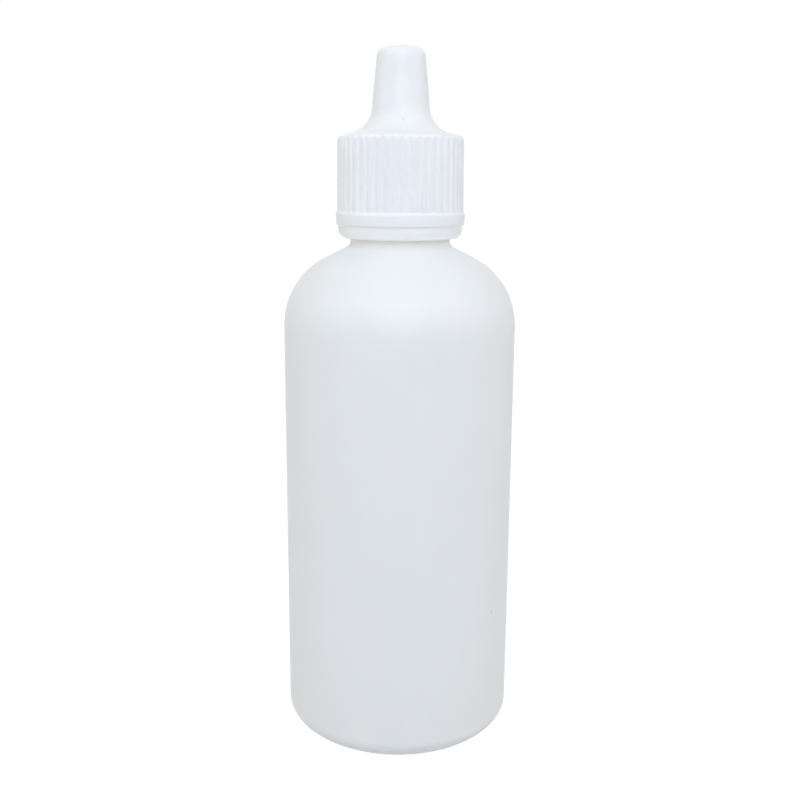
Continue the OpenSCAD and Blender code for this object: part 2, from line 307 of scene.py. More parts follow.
def pressedTree(name, inputs, offsetOf):
    # moves each point out from the axis and up, by what offsetOf finds for its place
    tree, sheet, given = startTree(name, inputs)
    part = sheet.parts(sheet.add("GeometryNodeInputPosition"))
    turn = part("Y").sum("ARCTAN2", part("X"))
    outwards, up = offsetOf(sheet, given, turn, part("Z"))
    offset = sheet.vector(X=turn.sum("COSINE") * outwards, Y=turn.sum("SINE") * outwards, Z=up)
    values = {"Geometry": given("Geometry"), "Offset": offset}
    pressed = sheet.add("GeometryNodeSetPosition", values=values)
    endTree(sheet, pressed, given("Material"))
    return tree


def readAttribute(sheet, name, kind):
    return sheet.add("GeometryNodeInputNamedAttribute", {"data_type": kind}, {"Name": name}, "Attribute")


def threadOffset(sheet, given, turn, height):
    # one helical ridge on a wall, whose crest sinks into the wall at both ends
    part = ((turn - given("Start Angle")) / (2 * pi)).sum("FRACT")
    climb = (height - given("Start Height")) / given("Pitch") - part
    whole = climb.sum("ROUND")
    done = part + whole
    rise = (done.sum("MINIMUM", given("Turns") - done) / given("Run Out")).within()
    fromMiddle = abs(climb - whole) * given("Pitch")
    flank = (given("Width") / 2 - fromMiddle) / given("Flank Slope")
    crest = flank.sum("SMOOTH_MIN", given("Height") * rise, given("Rounding"))
    ridge = crest.sum("SMOOTH_MAX", 0.0, given("Rounding"))
    return ridge * readAttribute(sheet, "threadWall", "FLOAT"), 0.0


def ribOffset(sheet, given, turn, height):
    # a ribbed skirt: round staves whose feet are blended into the wall
    apart = 2 * pi * given("Root Radius") / given("Count")
    aside = abs(((turn - given("Turn")) * given("Count") / (2 * pi)).sum("FRACT") - 0.5) * apart
    stave = (given("Round") * given("Round") - aside * aside).sum("MAXIMUM", 0.0).sum("SQRT")
    raised = stave + given("Height") + given("Trim") - given("Round")
    crest = raised.sum("SMOOTH_MIN", given("Height"), given("Crest Rounding"))
    share = crest.sum("SMOOTH_MAX", 0.0, given("Foot")) / given("Height")
    reach = sheet.parts(readAttribute(sheet, "ribReach", "FLOAT_VECTOR"))
    return reach("X") * share, reach("Y") * share


threadPlace = ("Start Height", "Start Angle", "Pitch", "Turns")
threadShape = ("Width", "Height", "Flank Slope", "Run Out", "Rounding")
threadTree = pressedTree("helicalThread", threadPlace + threadShape, threadOffset)
ribInputs = ("Count", "Turn", "Root Radius", "Round", "Height", "Trim", "Foot", "Crest Rounding")
ribTree = pressedTree("skirtRibs", ribInputs, ribOffset)
print("trees ready")


# Finishes

noLight = (0, 0, 0)


def grain(sheet, place, size, stretch=(1, 1, 1), detail=2.0):
    # noise whose lumps are about size millimetres, and longer along an axis with a small stretch
    vector = sheet.add("ShaderNodeMapping", values={"Vector": place, "Scale": stretch})
    values = {"Vector": vector, "Scale": 1 / (size * mm), "Detail": detail}
    return sheet.add("ShaderNodeTexNoise", values=values)


def startFinish(name, look):
    # the material, its sheet, the place on the surface, and the look's grains as masks
    material = bpy.data.materials.new(name)
    material.use_nodes = True
    material.node_tree.nodes.clear()
    sheet = Sheet(material.node_tree)
    place = sheet.add("ShaderNodeTexCoord", output="Object")
    masks = {label: grain(sheet, place, *sizes) for label, sizes in look["grains"].items()}
    return material, sheet, place, masks


def fromAxis(part):
    # how far a place lies from the bottle's axis
    return (part("X") * part("X") + part("Y") * part("Y")).sum("SQRT")


def addShares(masks, shares):
    # the sum of the masks, each times the share under its name
    parts = [masks[name] * share for name, share in shares.items()]
    return sum(parts[1:], parts[0])


def nearSpot(sheet, place, spot, zone):
    # full round a spot in millimetres, by how far a place lies from it
    ends = {0: place, 1: [c * mm for c in spot]}
    away = sheet.add("ShaderNodeVectorMath", {"operation": "DISTANCE"}, ends, "Value")
    return away.easeSize(zone)


def endFinish(material, sheet, look, colour, masks, glow=(*noLight, 1)):
    roughness = addShares(masks, look["rougher"]) + look["roughness"]
    height = addShares(masks, look["depths"])
    bump = sheet.add("ShaderNodeBump", values={"Strength": 1.0, "Distance": mm, "Height": height})
    plastic = sheet.add(
        "ShaderNodeBsdfPrincipled",
        {"subsurface_method": "RANDOM_WALK"},
        {
            "Base Color": colour,
            "Roughness": roughness,
            "Normal": bump,
            "Emission Color": glow,
            "Emission Strength": 1.0,
            "IOR": look["index"],
            "Specular IOR Level": look["gloss"],
            "Subsurface Weight": look["milkiness"],
            "Subsurface Radius": look["milkyReach"],
            "Subsurface Scale": mm,
        },
    )
    sheet.add("ShaderNodeOutputMaterial", values={"Surface": plastic})
    return material


# In every look a mask's zone is where it rises from none to full, in millimetres, its ends are the
# noise values between which it does, and its share is how much of its tone it lays on.
# Grains are (size in millimetres, stretch, detail); rougher and depths are what each mask adds to the
# roughness and, in millimetres, to the height.

# Milky low-density wall: flow marks down the wall, a parting line, a rubbed foot, painted shade towards the
# foot, and a paler neck: painted light and a painted glow under the bead
wallLook = {
    "pale": (0.817, 0.855, 0.894),
    "deep": (0.782, 0.825, 0.869),
    "deepStart": -0.2,
    "deeper": {"flow": 0.6, "cloud": 0.8},
    # painted shade: the wall is darker towards the foot
    "footShadeTone": (0.795, 0.832, 0.858),
    "footShadeZone": (28, 3),
    "footShadeShare": 0.8,
    "seamTone": (0.74, 0.77, 0.79),
    "seamZone": (0.11, 0.033),
    "seamShare": 0.35,
    "rubbed": (0.80, 0.81, 0.80),
    "rubbedZone": (1.6, 0.1),
    "rubbedEnds": (0.4, 0.62),
    "rubbedShare": 0.5,
    "speckTone": (0.42, 0.46, 0.46),
    "speckPlace": (17.26, -12.39, 26.15),
    "speckZone": (0.34, 0.1),
    "speckShare": 0.6,
    "scratchEnds": (0.66, 0.74),
    # painted light: the paler tone laid on the neck and shoulder end under the bead
    "underBeadPaintedTone": (0.93, 0.925, 0.89),
    # painted glow on the neck under the bead, though it is no lamp
    "paintedGlow": (0.014, 0.014, 0.004),
    "collarZone": (9.9, 9.2),
    "collarRise": (92.3, 93.5),
    "slopeZone": (11.5, 9.4),
    "slopeRise": (90.5, 92.5),
    "slopeShare": 0.3,
    "underBead": (94.7, 94.3),
    "grains": {
        "flow": (9, (1, 1, 0.14), 3.0),
        "cloud": (22,),
        "peel": (1.1, (1, 1, 0.7)),
        "fine": (0.25,),
        "scratch": (0.5, (1, 1, 0.03), 3.0),
    },
    "roughness": 0.36,
    "rougher": {"flow": 0.08, "fine": 0.05, "scratch": 0.1, "rub": 0.15},
    "depths": {"peel": 0.012, "flow": 0.05, "fine": 0.002, "seam": 0.03, "scratch": -0.002},
    "index": 1.51,
    "gloss": 0.42,
    "milkiness": 0.35,
    "milkyReach": (1.6, 1.8, 2.1),
}


def wallFinish(look):
    material, sheet, place, masks = startFinish("milkyWall", look)
    part = sheet.parts(place)
    z, radius = part("Z"), fromAxis(part)
    masks["scratch"] = masks["scratch"].ease(*look["scratchEnds"])
    masks["seam"] = abs(part("Y")).easeSize(look["seamZone"])
    masks["rub"] = z.easeSize(look["rubbedZone"]) * masks["fine"].ease(*look["rubbedEnds"])
    speck = nearSpot(sheet, place, look["speckPlace"], look["speckZone"])
    # painted shade, rising towards the foot
    footShadeMask = z.easeSize(look["footShadeZone"])
    # painted light: the neck under the bead and the shoulder's end are painted paler, and the neck is given
    # a glow, to lift the shade under the cap
    underBead = z.easeSize(look["underBead"])
    collar = radius.easeSize(look["collarZone"]) * z.easeSize(look["collarRise"]) * underBead
    slope = radius.easeSize(look["slopeZone"]) * z.easeSize(look["slopeRise"]) * underBead
    underBeadPaintedLight = (collar + slope * look["slopeShare"]).within()
    mottle = (addShares(masks, look["deeper"]) + look["deepStart"]).within()
    colour = sheet.blendColours(mottle, look["pale"], look["deep"])
    # painted shade: darker towards the foot
    colour = sheet.blendColours(footShadeMask * look["footShadeShare"], colour, look["footShadeTone"])
    colour = sheet.blendColours(masks["seam"] * look["seamShare"], colour, look["seamTone"])
    colour = sheet.blendColours(masks["rub"] * look["rubbedShare"], colour, look["rubbed"])
    colour = sheet.blendColours(speck * look["speckShare"], colour, look["speckTone"])
    # painted light: paler neck and shoulder end under the bead
    colour = sheet.blendColours(underBeadPaintedLight, colour, look["underBeadPaintedTone"])
    # painted glow on the neck under the bead
    glow = sheet.blendColours(collar, noLight, look["paintedGlow"])
    return endFinish(material, sheet, look, colour, masks, glow)


# Cap: whiter and harder, duller in tone on the crests that fingers turn, and paler in the grooves, where
# painted light lifts their shade
capLook = {
    "pale": (0.83, 0.858, 0.893),
    "deep": (0.80, 0.833, 0.873),
    "cloudEnds": (0.3, 0.7),
    "overBand": (0, 0.3),
    "handled": (0.79, 0.825, 0.875),
    "handledShare": 0.3,
    "handledSpeckle": 0.2,
    "crestZone": (-0.2, -0.08),
    "crestTop": (0.4, -0.2),
    # painted light: a paler tone in the grooves, against their shade
    "groovePaintedTone": (0.93, 0.955, 0.985),
    "groovePaintedShare": 0.42,
    "grooveZone": (0.17, 0.01),
    "grooveTop": (-0.3, -1.2),
    "outerSide": (0.4, 0.7),
    "dust": (0.77, 0.79, 0.81),
    "dustEnds": (0.4, 0.7),
    "dustShare": 0.12,
    "gateTone": (0.76, 0.79, 0.83),
    "gateZone": (1.0, 0.8),
    "gateShare": 0.4,
    "nubZone": (0.35, 0.2),
    "tipZone": (-0.6, -0.3),
    "markTone": (0.62, 0.65, 0.68),
    "markPlace": (0.45, -5.86, 114.13),
    "markZone": (0.36, 0.1),
    "markShare": 0.5,
    "grains": {"cloud": (6,), "peel": (0.8,), "fine": (0.18,)},
    "roughness": 0.36,
    "rougher": {"cloud": 0.06, "fine": 0.05, "crest": -0.06, "groove": 0.08},
    "depths": {"peel": 0.006, "fine": 0.002, "gate": -0.05, "nub": 0.04},
    "index": 1.49,
    "gloss": 0.36,
    "milkiness": 0.7,
    "milkyReach": (0.8, 0.85, 0.95),
}


def capFinish(look):
    material, sheet, place, masks = startFinish("capWhite", look)
    part = sheet.parts(place)
    z, radius = part("Z"), fromAxis(part)
    overBand = z.easeSize(look["overBand"], bandTop)
    onRibs = overBand * z.easeSize(look["crestTop"], ribTop)
    crest = radius.easeSize(look["crestZone"], ribCrest) * onRibs
    # the skirt's inner side is left out by its radius
    outerSide = radius.easeSize(look["outerSide"], cap["inRadius"])
    groove = radius.easeSize(look["grooveZone"], ribRoot) * outerSide
    groove = groove * overBand * z.easeSize(look["grooveTop"], ribTop)
    dusty = groove * masks["peel"].ease(*look["dustEnds"])
    # a shallow dish with a nub, where the plastic came in
    onTip = z.easeSize(look["tipZone"], capTop)
    gate = radius.easeSize(look["gateZone"]) * onTip
    nub = radius.easeSize(look["nubZone"]) * onTip
    mark = nearSpot(sheet, place, look["markPlace"], look["markZone"])
    masks.update(crest=crest, groove=groove, gate=gate, nub=nub)
    handled = crest * (look["handledShare"] + look["handledSpeckle"] * masks["fine"])
    cloud = masks["cloud"].ease(*look["cloudEnds"])
    colour = sheet.blendColours(cloud, look["pale"], look["deep"])
    colour = sheet.blendColours(handled, colour, look["handled"])
    # painted light: paler grooves, against their shade
    colour = sheet.blendColours(groove * look["groovePaintedShare"], colour, look["groovePaintedTone"])
    colour = sheet.blendColours(dusty * look["dustShare"], colour, look["dust"])
    colour = sheet.blendColours(gate * look["gateShare"], colour, look["gateTone"])
    colour = sheet.blendColours(mark * look["markShare"], colour, look["markTone"])
    return endFinish(material, sheet, look, colour, masks)


# The ring and its bridges are moulded with the cap; painted light: the ring's foot is painted paler, and
# its top edge and foot glow though they are no lamp
ringLook = {
    # painted light: these tones are paler than the cap's, to offset the shade on the ring's downward face
    "pale": (0.86, 0.888, 0.928),
    "deep": (0.836, 0.864, 0.904),
    "cloudEnds": (0.3, 0.7),
    "stressed": (0.92, 0.94, 0.97),
    "stressZone": (-0.25, 0),
    "stressEnds": (0.35, 0.6),
    "stressShare": 0.6,
    # painted light: a paler tone on the ring's foot, against the shade on its underside
    "footPaintedPale": (0.955, 0.965, 0.98),
    "footPaintedPaleShare": 0.8,
    # painted glow on the ring's top edge, against the shade of the slit
    "paintedGlow": (0.142, 0.145, 0.148),
    "edgeZone": (-0.4, -0.05),
    # painted glow on the ring's foot
    "footPaintedGlow": (0.05, 0.05, 0.052),
    "footZone": (1.3, 0.3),
    "grains": {"cloud": (4,), "drag": (0.6, (1, 1, 4)), "fine": (0.18,)},
    "roughness": 0.31,
    "rougher": {"drag": 0.06, "fine": 0.05, "stress": 0.06},
    "depths": {"drag": 0.008, "fine": 0.002},
    "index": 1.49,
    "gloss": 0.36,
    "milkiness": 0.7,
    "milkyReach": (0.8, 0.85, 0.95),
}


def ringFinish(look):
    material, sheet, place, masks = startFinish("ringWhite", look)
    z = sheet.parts(place)("Z")
    masks["stress"] = z.easeSize(look["stressZone"], ringTop)
    stressed = masks["stress"] * masks["fine"].ease(*look["stressEnds"])
    edge = z.easeSize(look["edgeZone"], ringTop)
    foot = z.easeSize(look["footZone"], ringFoot)
    cloud = masks["cloud"].ease(*look["cloudEnds"])
    colour = sheet.blendColours(cloud, look["pale"], look["deep"])
    colour = sheet.blendColours(stressed * look["stressShare"], colour, look["stressed"])
    # painted light: the foot paler, the top edge and the foot glowing
    colour = sheet.blendColours(foot * look["footPaintedPaleShare"], colour, look["footPaintedPale"])
    glow = sheet.blendColours(edge, noLight, look["paintedGlow"])
    glow = sheet.blendColours(foot, glow, look["footPaintedGlow"])
    return endFinish(material, sheet, look, colour, masks, glow)


# The insert is unpigmented and softer, so it looks waxier than the bottle
insertLook = {
    "pale": (0.82, 0.83, 0.83),
    "deep": (0.77, 0.785, 0.79),
    "cloudEnds": (0.25, 0.75),
    "grains": {"cloud": (5,), "turning": (0.5, (0.15, 0.15, 1)), "fine": (0.2,)},
    "roughness": 0.33,
    "rougher": {"turning": 0.07, "fine": 0.05},
    "depths": {"turning": 0.01, "fine": 0.002},
    "index": 1.51,
    "gloss": 0.4,
    "milkiness": 0.5,
    "milkyReach": (2.4, 2.5, 2.6),
}


def insertFinish(look):
    material, sheet, place, masks = startFinish("waxyInsert", look)
    cloud = masks["cloud"].ease(*look["cloudEnds"])
    colour = sheet.blendColours(cloud, look["pale"], look["deep"])
    return endFinish(material, sheet, look, colour, masks)


# Sizes that the solids give, in millimetres

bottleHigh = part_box("bottle")[1] / mm
insertLow, insertHigh = (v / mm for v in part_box("dropper_insert"))
capLow, capHigh = (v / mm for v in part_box("cap"))
ringLow, ringHigh = (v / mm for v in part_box("tamper_ring"))
bridgeLow, bridgeHigh = (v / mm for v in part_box("tear_bridges"))
wallRadius, rimTop = bottleHigh.x, bottleHigh.z
bandRadius, capFoot, capTop = capHigh.x, capLow.z, capHigh.z
ringRadius, ringFoot, ringTop = ringHigh.x, ringLow.z, ringHigh.z

# Bottle

bottle = {
    "wall": 0.9,
    "wallTop": 77.7,
    "shoulderRound": 13.75,
    "shoulderSlope": 26.8,
    "footWidth": 6.4,
    "footHeight": 4.5,
    "base": 1.2,
    "hollowRadius": 11,
    "hollowDepth": 1.6,
    "collarRadius": 9.05,
    "collarRound": 1.25,
    "neckRadius": 8.5,
    "boreRadius": 6.75,
    "rimRound": 0.3,
    "beadRadius": 9.75,
    "beadHeight": 1.1,
    "beadFoot": 94.491,
    "turnPoints": 192,
    "threadStep": 0.07,
    # how far off the bead and the rim the neck is plain, is split finely and carries the thread
    "plainOff": 0.6,
    "splitOff": 0.5,
    "threadOff": 0.3,
}
# flank is its angle from level ground, runOut the degrees over which the ridge sinks into the wall
thread = {
    "pitch": 3.0,
    "turns": 1.75,
    "width": 1.5,
    "height": 0.8,
    "flank": 25,
    "runOut": 40,
    "rounding": 0.12,
    "drop": 1.6,
}
threadStart = rimTop - thread["drop"] - thread["turns"] * thread["pitch"]


def threadValues(start, startAngle, turns, material):
    return {
        "Start Height": start * mm,
        "Start Angle": radians(startAngle),
        "Pitch": thread["pitch"] * mm,
        "Turns": turns,
        "Width": thread["width"] * mm,
        "Height": thread["height"] * mm,
        "Flank Slope": tan(radians(thread["flank"])),
        "Run Out": thread["runOut"] / 360,
        "Rounding": thread["rounding"] * mm,
        "Material": material,
    }


def bottleSection(b):
    slope, wall = b["shoulderSlope"], b["wall"]
    # the pushed-up base is a cap of a sphere, and its inner side lies one thickness higher
    hollow = (b["hollowRadius"] ** 2 + b["hollowDepth"] ** 2) / (2 * b["hollowDepth"])
    hollowAngle = 90 - degrees(asin(b["hollowRadius"] / hollow))
    hollowLow = arcLine((0, b["hollowDepth"] - hollow), hollow, 90, hollowAngle, 10)
    hollowHigh = arcLine((0, b["hollowDepth"] - hollow + b["base"]), hollow, hollowAngle, 90, 8)
    footCentre = (wallRadius - b["footWidth"], b["footHeight"])
    inFootCentre = (footCentre[0], b["footHeight"] + b["base"] - wall)
    inFoot = ovalLine(inFootCentre, b["footWidth"] - wall, b["footHeight"] - wall, 12)
    wallSteps = 8
    wallRise = b["wallTop"] - b["footHeight"]
    shoulderCorner = Vector((wallRadius, b["wallTop"] + b["shoulderRound"] * tan(radians(45 - slope / 2))))
    collar = crossing(shoulderCorner, 180 - slope, (b["collarRadius"], 0), 90)
    inShoulder = shoulderCorner - heading(90 - slope) * wall
    inCorner = crossing(inShoulder, 180 - slope, (wallRadius - wall, 0), 90)
    inCollar = crossing(inCorner, 180 - slope, (b["boreRadius"], 0), 90)
    beadFoot, beadTop = b["beadFoot"], b["beadFoot"] + b["beadHeight"]
    outside = sectionLine([
        (0, b["hollowDepth"]),
        *plainCorners(hollowLow[1:-1]),
        (b["hollowRadius"], 0, 1.6, 5),
        *plainCorners(ovalLine(footCentre, b["footWidth"], b["footHeight"], 20)),
        *[(wallRadius, b["footHeight"] + wallRise * k / wallSteps) for k in range(1, wallSteps)],
        (*shoulderCorner, b["shoulderRound"], 28),
        (*collar, b["collarRound"], 10),
        (b["collarRadius"], beadFoot, 0.12, 4),
        (b["beadRadius"], beadFoot, 0.15, 5),
        (b["beadRadius"], beadFoot + b["beadHeight"] / 2, 0.25, 5),
        (b["neckRadius"], beadTop, 0.3, 5),
        (b["neckRadius"], beadTop + b["plainOff"]),
        (b["neckRadius"], rimTop - b["plainOff"]),
        (b["neckRadius"], rimTop, b["rimRound"], 5),
        (b["boreRadius"], rimTop, 0.25, 5),
        (*inCollar, 0.8, 5),
        (*inCorner, b["shoulderRound"] - wall, 18),
        *plainCorners(reversed(inFoot)),
        *plainCorners(hollowHigh),
    ])
    return splitLine(outside, beadTop + b["splitOff"], rimTop - b["splitOff"], b["threadStep"])


def buildBottle(mesh):
    b = bottle
    line = bottleSection(b)
    threadWall = mesh.verts.layers.float.new("threadWall")
    rings = latheRings(mesh, line, evenTurn(b["turnPoints"]))
    skinRings(mesh, rings)
    low = b["beadFoot"] + b["beadHeight"] + b["threadOff"]
    high = rimTop - b["threadOff"]
    for ring, spot in zip(rings, line):
        if abs(spot.x - b["neckRadius"]) < 0.01 and low < spot.y < high:
            for vert in ring:
                vert[threadWall] = 1.0


bottleShell = makePiece("bottleShell", buildBottle)
neckThread = threadValues(threadStart, 0, thread["turns"], wallFinish(wallLook))
growTree(bottleShell, threadTree, neckThread)
print("bottle", len(bottleShell.data.polygons), "faces")

# Dropper insert

insert = {
    "flangeHeight": 0.9,
    "plugWall": 1.1,
    "plugGap": 0.1,
    "seals": 3,
    "sealStep": 1.8,
    # one sealing bead: (height from its middle, reach past the plug, rounding)
    "sealCorners": ((-0.38, 0, 0.08), (-0.2, 0.095, 0.12), (0.2, 0.095, 0.12), (0.38, 0, 0.08)),
    "nozzleWall": 1.1,
    "tipRadius": 1.95,
    "tipRound": 0.6,
    "footRound": 1.5,
    "holeRadius": 0.53,
    "holeLength": 2.6,
    "draft": 5.4,
    "turnPoints": 128,
}


def buildInsert(mesh):
    n = insert
    flangeTop, tip = rimTop + n["flangeHeight"], insertHigh.z
    plug = bottle["boreRadius"] - n["plugGap"]
    plugIn = plug - n["plugWall"]
    lean = 90 + n["draft"]
    foot = crossing((n["tipRadius"], tip), lean, (0, flangeTop), 0)
    channelIn = (n["tipRadius"] - n["nozzleWall"], tip)
    channelTop = crossing(channelIn, lean, (0, tip - n["holeLength"] - n["nozzleWall"]), 0)
    channelFoot = crossing(channelIn, lean, (0, flangeTop), 0)
    seals = []
    for i in range(n["seals"], 0, -1):
        middle = rimTop - i * n["sealStep"]
        for side, reach, rounding in n["sealCorners"]:
            seals.append((plug + reach, middle + side, rounding, 3))
    line = sectionLine([
        (plugIn, insertLow.z, 0.2),
        (plug - n["plugWall"] / 2, insertLow.z, 0.15),
        (plug, insertLow.z + n["plugWall"], 0.3),
        *seals,
        (plug, rimTop, 0.1, 3),
        (insertHigh.x, rimTop, 0.15),
        (insertHigh.x, flangeTop, 0.25),
        (*foot, n["footRound"], 10),
        (n["tipRadius"], tip, n["tipRound"], 8),
        (n["holeRadius"], tip, 0.12),
        (n["holeRadius"], tip - n["holeLength"], 0.1),
        (*channelTop, 0.3),
        (*channelFoot, 0.6),
        (plugIn, rimTop - n["plugWall"], 0.4),
    ])
    skinRings(mesh, latheRings(mesh, line, evenTurn(n["turnPoints"])), closed=True)


dropperInsert = makePiece("dropperInsert", buildInsert)
dropperInsert.data.materials.append(insertFinish(insertLook))
print("insert", len(dropperInsert.data.polygons), "faces")

# Cap

cap = {
    "inRadius": 9.5,
    "skirt": 1.6,
    "ribHeight": 0.3,
    "ribRound": 0.75,
    "ribTrim": 0.03,
    "ribFoot": 0.08,
    "crestRounding": 0.08,
    "ribs": 44,
    "ribTurn": 0.9,
    "bandHeight": 2.3,
    "bandBrow": (0.22, 0.6),
    "bandLip": 0.035,
    "lipOff": (0.05, 0.08),
    "bandLean": 0.12,
    "footBevel": 0.25,
    "slitEdge": 0.02,
    "skirtDraft": 0.5,
    "ribCorner": 0.85,
    "ribFootEdge": 0.02,
    "grooveCorner": 0.5,
    "grooveFoot": 0.12,
    "topSlope": 16,
    "topWall": 1.05,
    "landHeight": 0.35,
    "landGap": 0.2,
    "landWidth": 1.0,
    "coverStart": 0.7,
    "coverFillet": 4.7,
    "coverDraft": 5.4,
    "coverWall": 1.1,
    "coverAir": 1.1,
    "coverEnd": 1.3,
    "coverCorner": 1.8,
    "coverFlat": 0.9,
    "coverInCorner": 0.8,
    "pinRadius": 0.45,
    "pinReach": 1.2,
    "inTurnPoints": 176,
    "threadStep": 0.08,
    # how far off the foot and the ceiling the wall is plain, is split finely and carries the thread
    "plainOff": (1.0, 0.8),
    "splitOff": (0.9, 0.7),
    "threadOff": (0.5, 0.5),
    "threadTurns": 1.25,
    "openTurns": 1.5,
    "crestGap": 0.2,
    "flankGap": 0.12,
    # where the points of one rib lie, in millimetres to one side of its middle
    "ribPoints": (0.08, 0.22, 0.34, 0.44, 0.52, 0.58, 0.65, 0.73),
}
bandTop = capFoot + cap["bandHeight"]
ribRoot = cap["inRadius"] + cap["skirt"]
ribCrest = ribRoot + cap["ribHeight"]
ceiling = rimTop + insert["flangeHeight"] + cap["landGap"] + cap["landHeight"]
topEdge = Vector((cap["inRadius"], ceiling + cap["topWall"]))
ribTop = crossing(topEdge, 180 - cap["topSlope"], (ribCrest, bandTop), 90 + cap["skirtDraft"]).y
coverRadius = insert["tipRadius"] + cap["coverAir"] + cap["coverWall"]


def ribAngles(c):
    # each rib's points stand close where its sides are steep
    sides = [-d for d in reversed(c["ribPoints"])] + list(c["ribPoints"])
    start = radians(c["ribTurn"])
    middles = [start + 2 * pi * (i + 0.5) / c["ribs"] for i in range(c["ribs"])]
    return [middle + side / ribRoot for middle in middles for side in sides]


def skirtCorners(c, radius, corner, foot):
    # the band's top edge, the skirt and its top corner, for a groove or for a crest
    top = crossing(topEdge, 180 - c["topSlope"], (radius, bandTop), 90 + c["skirtDraft"])
    join = crossing(topEdge, 180 - c["topSlope"], (ribRoot - c["coverStart"], 0), 90)
    browWidth, browHeight = c["bandBrow"]
    shares = [k / 8 for k in range(9)]
    return sectionLine([
        (bandRadius - c["bandLean"], capFoot),
        *[(bandRadius - browWidth * t ** 2, bandTop - browHeight * (1 - t)) for t in shares],
        (radius, bandTop, foot, 4),
        (*top, corner, 8),
        tuple(join),
    ])[1:]


def coverLine(c):
    # from the dome up over the tip cover to the axis
    slope, lean = 180 - c["topSlope"], 90 + c["coverDraft"]
    foot = crossing(topEdge, slope, (coverRadius, capTop), lean)
    start = crossing(topEdge, slope, (ribRoot - c["coverStart"], 0), 90)
    end = crossing((0, capTop), 0, (coverRadius, capTop), lean)
    return sectionLine([
        tuple(start),
        (*foot, c["coverFillet"], 20),
        (*end, c["coverCorner"], 12),
        (c["coverFlat"], capTop),
        (0, capTop),
    ])[1:]


def insideLine(c):
    # from the foot of the cap up its wall, over the land and the inner cover, and down to the closing pin
    slope, lean = 180 - c["topSlope"], 90 + c["coverDraft"]
    landLow = ceiling - c["landHeight"]
    landOut = insertHigh.x
    landIn = landOut - c["landWidth"]
    coverIn = (coverRadius - c["coverWall"] / cos(radians(c["coverDraft"])), capTop)
    inTop = capTop - c["coverEnd"]
    edge = (c["inRadius"], ceiling)
    fillet = c["coverFillet"] + c["coverWall"]
    centre = roundCentre(edge, slope, coverIn, lean, -fillet)
    # where the rounding towards the cover meets the land's inner side
    filletFoot = centre.y - (fillet ** 2 - (centre.x - landIn) ** 2) ** 0.5
    landOutTop = crossing(edge, slope, (landOut, 0), 90)
    arc = arcLine(centre, fillet, 270 - c["topSlope"], 180 + c["coverDraft"], 20)
    inEnd = crossing((0, inTop), 0, coverIn, lean)
    pinFoot = insertHigh.z - c["pinReach"]
    return sectionLine([
        (c["inRadius"] + c["footBevel"], capFoot),
        (c["inRadius"], capFoot + c["footBevel"]),
        (c["inRadius"], capFoot + c["plainOff"][0]),
        (c["inRadius"], ceiling - c["plainOff"][1]),
        (c["inRadius"], ceiling, 0.3, 4),
        (*landOutTop, 0.1, 3),
        (landOut, landLow, 0.15, 4),
        (landIn, landLow, 0.15, 4),
        (landIn, filletFoot),
        *plainCorners(s for s in arc if s.x < landIn - 0.3),
        (*inEnd, c["coverInCorner"], 8),
        (c["pinRadius"], inTop, 0.15, 4),
        (c["pinRadius"], pinFoot + c["pinRadius"] / 2, 0.1, 3),
        (c["pinRadius"] / 2, pinFoot, 0.1, 3),
        (0, pinFoot),
    ])


def buildCap(mesh):
    c = cap
    ribReach = mesh.verts.layers.float_vector.new("ribReach")
    threadWall = mesh.verts.layers.float.new("threadWall")
    groove = skirtCorners(c, ribRoot, c["grooveCorner"], c["grooveFoot"])
    crest = skirtCorners(c, ribCrest, c["ribCorner"], c["ribFootEdge"])
    # the band's lip hangs round the ring's top edge, so that the slit shows as a line only
    foot = sectionLine([
        (c["inRadius"] + c["footBevel"], capFoot),
        (ringRadius + c["lipOff"][0], capFoot),
        (ringRadius + c["lipOff"][1], capFoot - c["bandLip"]),
        (bandRadius - c["bandLean"], capFoot - c["bandLip"], c["slitEdge"], 3),
        (bandRadius, bandTop),
    ])[1:-1]
    splitLow, splitHigh = capFoot + c["splitOff"][0], ceiling - c["splitOff"][1]
    inside = splitLine(insideLine(c), splitLow, splitHigh, c["threadStep"])
    angles = ribAngles(c)
    outerRings = latheRings(mesh, foot + groove + coverLine(c), angles)
    innerRings = latheRings(mesh, inside, evenTurn(c["inTurnPoints"]))
    skinRings(mesh, outerRings)
    skinRings(mesh, innerRings)
    joinRings(mesh, outerRings[0], innerRings[0])
    for ring, root, top in zip(outerRings[len(foot):], groove, crest):
        for vert in ring:
            vert[ribReach] = ((top.x - root.x) * mm, (top.y - root.y) * mm, 0)
    low, high = capFoot + c["threadOff"][0], ceiling - c["threadOff"][1]
    for ring, spot in zip(innerRings, inside):
        if abs(spot.x - c["inRadius"]) < 0.01 and low < spot.y < high:
            for vert in ring:
                vert[threadWall] = -1.0


capShell = makePiece("capShell", buildCap)
capWhite = capFinish(capLook)
ribValues = {
    "Count": float(cap["ribs"]),
    "Turn": radians(cap["ribTurn"]),
    "Root Radius": ribRoot * mm,
    "Round": cap["ribRound"] * mm,
    "Height": cap["ribHeight"] * mm,
    "Trim": cap["ribTrim"] * mm,
    "Foot": cap["ribFoot"] * mm,
    "Crest Rounding": cap["crestRounding"] * mm,
    "Material": capWhite,
}
growTree(capShell, ribTree, ribValues)
# the cap's ridge lies a step below the neck's, and starts where it frees
bothHalves = thread["width"] - (thread["height"] + cap["crestGap"]) * tan(radians(thread["flank"]))
threadStepDown = bothHalves + cap["flankGap"] / cos(radians(thread["flank"]))
capThreadTurn = thread["turns"] - cap["openTurns"]
capThreadStart = threadStart + capThreadTurn * thread["pitch"] - threadStepDown
capThread = threadValues(capThreadStart, 360 * capThreadTurn, cap["threadTurns"], capWhite)
growTree(capShell, threadTree, capThread)
print("cap", len(capShell.data.polygons), "faces")

# Tamper-evident ring and its bridges

